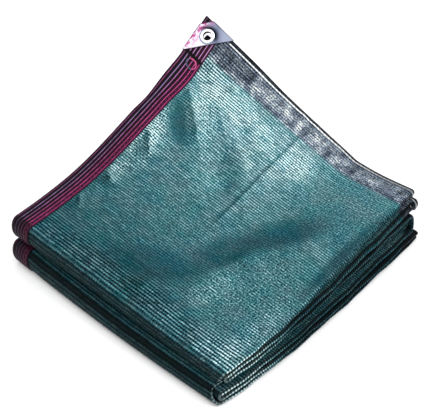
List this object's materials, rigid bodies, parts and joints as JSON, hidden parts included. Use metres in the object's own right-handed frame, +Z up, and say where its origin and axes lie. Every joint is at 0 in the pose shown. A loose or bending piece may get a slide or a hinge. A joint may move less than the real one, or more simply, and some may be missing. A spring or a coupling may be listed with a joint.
{
  "type": "folded shade net",
  "caption": "Knitted garden shade net folded flat in zigzag layers, with a bound edge, a pale edge cord, and one corner raised to show a metal plate and its eyelet.",
  "frame": {"origin": "under the middle of the folded net's box, on the surface it rests on", "axes": "+Z up, the shortest extent; X along the knit's wales, the bound cut ends at -X; Y across the wales, the selvedge with the pale cord at +Y; the raised corner is at -X and +Y"},
  "size_m": [0.4188, 0.4174, 0.2078],
  "materials": {
    "knitted_net": "knitted teal plastic thread, translucent, faint sheen",
    "edge_tape": "ribbed binding, maroon ribs on black",
    "edge_cord": "pale twisted cord, matte",
    "plate_metal": "smooth pressed sheet, satin",
    "eyelet_metal": "bright rolled rim"
  },
  "bodies": {
    "root": {"shade_net": "knitted_net", "edge_tape_ply1": "edge_tape", "edge_tape_ply4": "edge_tape", "edge_cord": "edge_cord", "corner_plate": "plate_metal", "eyelet": "eyelet_metal"}
  },
  "joints": []
}
